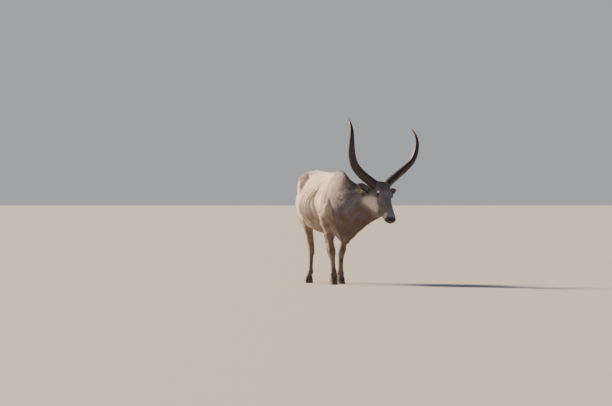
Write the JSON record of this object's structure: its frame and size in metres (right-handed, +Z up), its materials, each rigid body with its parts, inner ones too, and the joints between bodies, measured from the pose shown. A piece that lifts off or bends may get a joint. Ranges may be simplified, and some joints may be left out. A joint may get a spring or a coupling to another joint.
{
  "type": "ankole watusi cattle model",
  "caption": "Still, life-size long-horned ankole watusi ox on its own four feet, head turned to its left, with dark lyre horns, short cream and grey coat, dewlap and hump.",
  "frame": {"origin": "on the floor, under the middle of the whole animal's box", "axes": "+Z up from the floor through the soles, -Y the way the body faces, +X the animal's left"},
  "size_m": [1.241, 2.1202, 1.9817],
  "materials": {
    "short_coat": "short flat hair, cream on the barrel and legs, cool grey on shoulder, neck and face",
    "horn": "dark brown keratin with faint rings, worn smooth and satin",
    "hoof": "dark grey-brown hoof horn, dusty",
    "eye": "wet dark brown eye",
    "tail_hair": "long dark hair of the tail switch"
  },
  "bodies": {
    "root": {"trunk": "short_coat", "neck": "short_coat", "head": "short_coat", "tail": "short_coat", "tail_switch": "tail_hair", "foreleg_left": "short_coat", "foreleg_right": "short_coat", "hindleg_left": "short_coat", "hindleg_right": "short_coat", "ear_left": "short_coat", "ear_right": "short_coat", "horn_left": "horn", "horn_right": "horn", "eye_left": "eye", "eye_right": "eye", "claw_fore_left_outer": "hoof", "claw_fore_left_inner": "hoof", "claw_fore_right_outer": "hoof", "claw_fore_right_inner": "hoof", "claw_hind_left_outer": "hoof", "claw_hind_left_inner": "hoof", "claw_hind_right_outer": "hoof", "claw_hind_right_inner": "hoof"}
  },
  "joints": []
}
